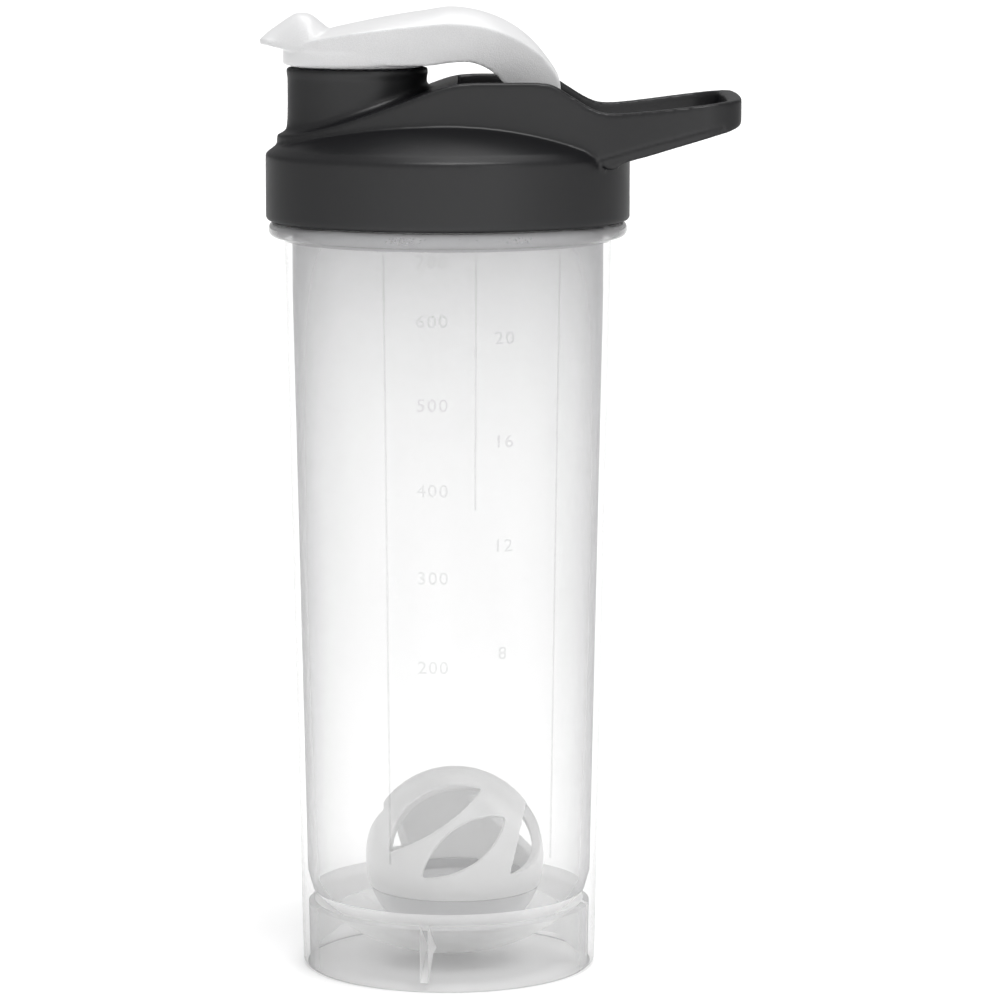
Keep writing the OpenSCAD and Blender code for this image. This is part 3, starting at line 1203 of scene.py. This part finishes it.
    def spout(self) -> Piece:
        """The solid of the spout, flared a little at its foot and rolled at its lip.

        Returns:
            The object.
        """
        r = self.spout_r
        profile = [
            (0, 203.6), (r + 0.6, 203.6), (r + 0.45, 209), (r + 0.1, 212), (r, 216),
            (r, self.spout_z - 2.4), (r + 0.25, self.spout_z - 1.6), (r + 0.25, self.spout_z),
            (0, self.spout_z),
        ]
        return Bench.lathe("spout", profile, self.spout_x, 128)

    def spout_fillet(self) -> Piece:
        """The soft fillet around the spout's foot, which follows the slope of the shoulder.

        Returns:
            The object.
        """
        wide, r = 3.0, self.spout_r - 0.4
        curve = arc(r + wide, wide, wide, 180, 270, 8)[1:]
        ring = [(r, -2.5), (r, wide), *curve, (r + wide, -2.5), (r, -2.5)]
        band = Bench.lathe("spout_fillet", ring, self.spout_x, 128)
        return Bench.moved(band, lambda p: Vector((p.x, p.y, p.z + height_on(self.TOP_EDGE, p.x))))

    def mouth(self) -> Piece:
        """The drinking channel, wider at its rim.

        Returns:
            The object.
        """
        r, z = self.mouth_r, self.spout_z
        profile = [
            (0, 203.9), (r, 203.9), (r, z - 1.0), (r + 0.3, z - 0.3), (r + 0.9, z + 0.2),
            (r + 0.9, z + 9), (0, z + 9),
        ]
        return Bench.lathe("mouth", profile, self.spout_x, 128)

    def shell(self) -> Piece:
        """The whole moulding: fused and rounded outside, then hollowed and bored.

        Returns:
            The object.
        """
        rails = Bench.combine(self.rails(), self.rebate(), Cut.AWAY)
        solid = Bench.join("lid", [self.cap_block(), rails, self.spout(), self.spout_fillet()])
        Bench.fuse(solid, grain=0.42, rounds=10, keep=0.4)
        for ear in self.ears():
            Bench.combine(solid, ear, Cut.ADD)
        Bench.combine(solid, self.hollow(), Cut.AWAY)
        Bench.combine(solid, self.mouth(), Cut.AWAY)
        Bench.combine(solid, self.thread(), Cut.ADD)
        return Bench.shade(Bench.close(solid), angle=40)

    def thread(self) -> Piece:
        """The ridge inside the bore that the bottle's thread runs on.

        Returns:
            The object.
        """
        section = thread_section(self.bore_r + 0.6, self.bore_r - self.thread_h)
        return Bench.helix(
            "thread", section, self.bore_r + 0.3, self.thread_z, self.thread_lead,
            start=-120, span=360)

    def seal(self) -> Piece:
        """The seal ring, with rounded corners.

        Returns:
            The object.
        """
        lo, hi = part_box("lid_gasket")
        z0, z1, r1, r0 = lo[2] / MM, hi[2] / MM, hi[0] / MM, self.ledge_r + 0.2
        e = 0.3
        profile = [
            *arc(r1 - e, z0 + e, e, -90, 0, 4), *arc(r1 - e, z1 - e, e, 0, 90, 4),
            *arc(r0 + e, z1 - e, e, 90, 180, 4), *arc(r0 + e, z0 + e, e, 180, 270, 4), (r1 - e, z0),
        ]
        return Bench.shade(Bench.lathe("seal_ring", profile, steps=160))

    def pin(self) -> Piece:
        """The hinge pin, with its ends chamfered.

        Returns:
            The object.
        """
        x, y, z = self.hinge_x, self.pin_half, self.hinge_z
        ends = ((x, -y, z), (x, y, z))
        bar = Bench.rod("pivot_pin", ends, self.pin_r)
        Bench.finish_with(bar, "BEVEL", width=0.3 * MM, segments=3, limit_method="ANGLE")
        return Bench.shade(bar)

    def build(self) -> None:
        """Makes and hands over the cap's pieces."""
        hand_over(self.shell(), (CHARCOAL,), "lid", "lid_shell")
        hand_over(self.seal(), (SEAL,), "gasket", "lid_gasket")
        hand_over(self.pin(), (STEEL,), "lid", "hinge_pin")


# ---------------------------------------------------------------- flip cap


@dataclass
class FlipCap:
    """The white flip cap: pad, thumb tab and arched lever, with the plug under its pad."""

    spout_x: float = -22.3
    pad_r: float = 18.3
    pad_z0: float = 225.6
    pad_z1: float = 230.4
    recess_r: float = 16.5
    recess_z: float = 229.0
    hinge_x: float = 24.0
    hinge_z: float = 217.0
    hub_r: float = 4.0
    bore_r: float = 1.56
    lever_y: float = 11.5

    LOWER = (
        (-36, 229.4), (-30, 228.4), (-22, 226.8), (-14, 226.0), (-5, 225.9), (1, 226.6),
        (6, 226.6), (10.5, 224.7), (13.6, 221.8), (16.5, 218.8), (20.5, 215.8), (22.5, 214.2),
    )
    UPPER = (
        (-36, 231.0), (-30, 232.6), (-22, 233.9), (-14, 234.9), (-5, 235.7), (1, 236.0),
        (8, 235.3), (14.5, 233.4), (19.8, 230.7), (24.1, 227.2), (27.4, 222.3), (27.7, 217.5),
    )
    CROWN = (0.4, 1.6, 2.2, 2.8, 3.4, 3.9, 3.6, 3.0, 2.0, 0.7, 0.3, 0.0)
    HALF = (11.5, 16.3, 18.2, 17.3, 15.6, 14.3, 13.4, 12.5, 11.9, 11.5, 11.5, 11.5)
    TAB_TOP = (
        (-46.2, 231.9), (-43.9, 233.9), (-41.5, 235.6), (-39.0, 237.3), (-37.2, 238.2),
        (-35.6, 238.3), (-33.6, 237.8), (-31.4, 236.1), (-29.1, 234.3), (-27.0, 233.0),
    )

    def lever(self) -> Piece:
        """The arched lever, crowned across.

        Returns:
            The object.
        """

        def place(u: float, v: float, w: float) -> Point3:
            """Bends the unit cube into the lever.

            Args:
                u: Share of the length.
                v: Share of the width.
                w: Share of the height.

            Returns:
                The place in mm.
            """
            low, up = spline(self.LOWER, u), spline(self.UPPER, u)
            half, crown = spline(list(zip(self.HALF, self.CROWN)), u)
            t = 2 * v - 1
            lift = crown * (1 - abs(t) ** 2.2) * w ** 2
            return mix(low[0], up[0], w), half * t, mix(low[1], up[1], w) + lift

        return Bench.block("lever", 40, place)

    def pad(self) -> Piece:
        """The round pad.

        Returns:
            The object.
        """
        r, z0, z1 = self.pad_r, self.pad_z0, self.pad_z1
        profile = [
            (0, z0), (r - 0.3, z0), (r, z0 + 0.3), (r, z1 - 2.4),
            *arc(r - 2.2, z1 - 2.2, 2.2, 0, 80, 8),
            (r - 6, z1 + 0.7), (r - 12, z1 + 1.2), (0, z1 + 1.4),
        ]
        return Bench.lathe("pad", profile, self.spout_x, 128)

    def tab(self) -> Piece:
        """The ramp-shaped thumb tab, narrowing to its tip.

        Returns:
            The object.
        """

        def place(u: float, v: float, w: float) -> Point3:
            """Bends the unit cube into the tab.

            Args:
                u: Share of the length.
                v: Share of the width.
                w: Share of the height.

            Returns:
                The place in mm.
            """
            x = mix(-46.2, -26.5, u)
            t = 2 * v - 1
            half = mix(7.0, 13.5, s_step(u * 1.5))
            top = height_on(self.TAB_TOP, x)
            low = mix(230.7, 229.3, min(1, u * 3))
            side = max(low + 1.2, top - (top - low - 1.2) * abs(t) ** 3.2)
            draw = 2.2 * abs(t) ** 3 * (1 - u)
            return x + draw, half * t, mix(low, side, w)

        return Bench.block("tab", 30, place)

    def cover(self) -> Piece:
        """The whole moulding, fused, then recessed and bored.

        Returns:
            The object.
        """
        y = self.lever_y
        ends = ((self.hinge_x, -y, self.hinge_z), (self.hinge_x, y, self.hinge_z))
        hub = Bench.rod("hub", ends, self.hub_r, sides=64)
        solid = Bench.join("flip_cover", [self.lever(), self.pad(), self.tab(), hub])
        Bench.fuse(solid, grain=0.36, rounds=3, keep=0.5)
        r, z = self.recess_r, self.recess_z
        recess = [(0, 215), (r, 215), (r, z), (0, z)]
        Bench.combine(solid, Bench.lathe("recess", recess, self.spout_x), Cut.AWAY)
        groove = [(-3, 224), (8, 224), (7, 232.5), (-1, 232.5)]
        Bench.combine(solid, Bench.prism("groove", groove, Plane.SIDE, -8, 8), Cut.AWAY)
        bore = ((self.hinge_x, -30, self.hinge_z), (self.hinge_x, 30, self.hinge_z))
        Bench.combine(solid, Bench.rod("bore", bore, self.bore_r), Cut.AWAY)
        return Bench.shade(Bench.close(solid), angle=40)

    def plug(self) -> Piece:
        """The soft plug that closes the spout.

        Returns:
            The object.
        """
        r, top = self.recess_r, self.recess_z
        profile = [
            (0, 222.6), (10, 222.6), (11, 222), *arc(13.0, 222.6, 0.6, -90, -10, 5), (14.35, 225.0),
            (14.7, 225.3), (r, 225.3), (r, top), (0, top),
        ]
        return Bench.shade(Bench.lathe("plug", profile, self.spout_x))

    def build(self) -> None:
        """Makes and hands over the flip cap's pieces."""
        hand_over(self.cover(), (WHITE,), "flip", "flip_cap")
        hand_over(self.plug(), (PLUG,), "flip", "spout_plug")


# ---------------------------------------------------------------- ball


@dataclass
class MixingBall:
    """The slotted ball: a white cage snapped onto a clear cup."""

    x: float = 1.5
    z: float = 26.9
    r: float = 22.4
    t: float = 2.6
    seam_z: float = 19.5
    cup_t: float = 2.2
    snap_gap: float = 0.15

    SLOTS = (
        (-22, 41, 45, 28, 11.4), (8, 18, 34, 26, 9.6), (68, 18, 34, 26, 9.6),
        (128, 18, 34, 26, 9.6), (248, 18, 34, 26, 9.6),
    )

    def seam_angle(self, r: float) -> float:
        """The latitude in degrees at which a sphere of radius r meets the seam."""
        return math.degrees(math.asin((self.seam_z - self.z) / r))

    def slot(self, around: float, up: float, lean: float, length: float, wide: float) -> Piece:
        """A lens-shaped cutter through the shell.

        Args:
            around: Its angle from the front, in degrees.
            up: Its latitude on the ball.
            lean: The angle of its long axis from level.
            length: Its length in mm.
            wide: Its width.

        Returns:
            The cutter.
        """
        big = (length ** 2 + wide ** 2) / (4 * wide)
        reach = math.degrees(math.asin(length / 2 / big))
        low = arc(0, big - wide / 2, big, -90 - reach, -90 + reach, 14)
        top = [(-u, -v) for u, v in low]
        lens = Bench.prism("slot", [*low[:-1], *top[:-1]], Plane.SIDE, -40, 0)
        turns = ((around, "Z"), (-up, "X"), (-lean, "Y"))
        aim, tip, roll = (Matrix.Rotation(math.radians(a), 3, axis) for a, axis in turns)
        place = aim @ tip @ roll
        return Bench.moved(lens, lambda p: place @ p + Vector((self.x, 0, self.z)))

    def cage(self) -> Piece:
        """The white upper part, its slots' edges rounded.

        Returns:
            The object.
        """
        edge, low = self.seam_angle(self.r), self.seam_angle(self.r - self.t)
        profile = [
            *arc(0, self.z, self.r, edge, 90, 40), *arc(0, self.z, self.r - self.t, 90, low, 40),
            (self.r * math.cos(math.radians(edge)), self.seam_z),
        ]
        cage = Bench.lathe("ball_top", profile, self.x, 144)
        for slot in self.SLOTS:
            Bench.combine(cage, self.slot(*slot), Cut.AWAY)
        Bench.fuse(cage, grain=0.4, rounds=6, keep=0.6)
        return Bench.shade(cage, angle=60)

    def cup(self) -> Piece:
        """The clear lower part with its snap ring.

        Returns:
            The object.
        """
        seam, inner_r = self.seam_z, self.r - self.cup_t
        outer = arc(0, self.z, self.r, -90, self.seam_angle(self.r), 30)
        lap = math.sqrt((self.r - self.t) ** 2 - (self.z - seam) ** 2) - self.snap_gap
        snap = [(lap, seam), (lap, seam + 2.4), (lap - 0.3, seam + 2.7), (lap - 1, seam + 2.7)]
        inner = arc(0, self.z, inner_r, self.seam_angle(inner_r), -90, 30)
        return Bench.shade(Bench.lathe("ball_base", [*outer, *snap, *inner[2:]], self.x, 128))

    def build(self) -> None:
        """Makes and hands over the ball's pieces."""
        hand_over(self.cage(), (BALL,), "ball", "ball_cage")
        hand_over(self.cup(), (CUP_CLEAR,), "ball", "ball_cup")


# ---------------------------------------------------------------- set


@dataclass
class Studio:
    """A pale floor, soft lights and the camera."""

    lens: float = 168.4
    pitch: float = 7.9
    camera_at: Point3 = (0.0129, -1.1566, 0.2777)
    sensor: float = 36.0
    clip: Point2 = (0.05, 200.0)
    floor_size: float = 60.0
    floor_tone: float = 0.96
    surround: float = 0.54
    aim_at: Point3 = (0.0, 0.0, 0.15)
    sun_spread: float = 34.0
    sun_side: float = 5.0

    def floor(self) -> None:
        """The floor that the bottle stands on."""
        Bench.clear()
        bpy.ops.mesh.primitive_plane_add(size=self.floor_size)
        floor = Bench.fresh("studio_floor")
        kit = NodeKit("studio_floor")
        shader = kit.add("ShaderNodeBsdfDiffuse", {}, {"Color": (*even(self.floor_tone), 1)})
        floor.data.materials.append(kit.output(shader))

    def light(self, name: str, at: Point3, size: float, power: float) -> None:
        """A square soft light aimed at the upper part of the bottle.

        Args:
            name: Name of the light.
            at: Its place in metres.
            size: Length of its sides in metres.
            power: Its power in watts.
        """
        Bench.clear()
        aim = (Vector(self.aim_at) - Vector(at)).to_track_quat("-Z", "Y").to_euler()
        bpy.ops.object.light_add(type="AREA", location=at, rotation=aim)
        lamp = bpy.context.active_object
        lamp.name = name
        lamp.data.size = size
        lamp.data.energy = power

    def overhead(self, name: str, lean: float, energy: float) -> None:
        """A wide light overhead; lean tips it towards the front, in degrees.

        Args:
            name: Name of the light.
            lean: The lean in degrees.
            energy: Its strength.
        """
        Bench.clear()
        turn = (math.radians(lean), math.radians(self.sun_side), 0)
        bpy.ops.object.light_add(type="SUN", location=(0, 0, 2), rotation=turn)
        lamp = bpy.context.active_object
        lamp.name = name
        lamp.data.angle = math.radians(self.sun_spread)
        lamp.data.energy = energy

    def camera(self) -> None:
        """The camera, level with the lid and looking slightly down."""
        Bench.clear()
        turn = (math.radians(90 - self.pitch), 0, 0)
        bpy.ops.object.camera_add(location=self.camera_at, rotation=turn)
        cam = bpy.context.active_object
        cam.data.lens = self.lens
        cam.data.sensor_width = self.sensor
        cam.data.clip_start, cam.data.clip_end = self.clip
        bpy.context.scene.camera = cam

    def world(self) -> None:
        """An even pale surround."""
        world = bpy.data.worlds.new("studio")
        world.use_nodes = True
        shade = world.node_tree.nodes["Background"]
        shade.inputs["Color"].default_value = (1, 1, 1, 1)
        shade.inputs["Strength"].default_value = self.surround
        bpy.context.scene.world = world
        bpy.context.scene.view_settings.view_transform = "Standard"

    def build(self) -> None:
        """Sets the scene."""
        self.camera()
        self.floor()
        self.world()
        self.overhead("overhead_front", lean=15, energy=1.9)
        self.overhead("overhead_back", lean=-28, energy=0.8)
        self.light("front_softbox", (1.0, -1.5, 0.75), size=0.6, power=2)


def main() -> None:
    """Builds the scene around the frame."""
    logging.basicConfig(level=logging.INFO, format="%(message)s")
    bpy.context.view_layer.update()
    Studio().build()
    for part in (Bottle(), Lid(), FlipCap(), MixingBall()):
        part.build()


if __name__ == "__main__":
    main()
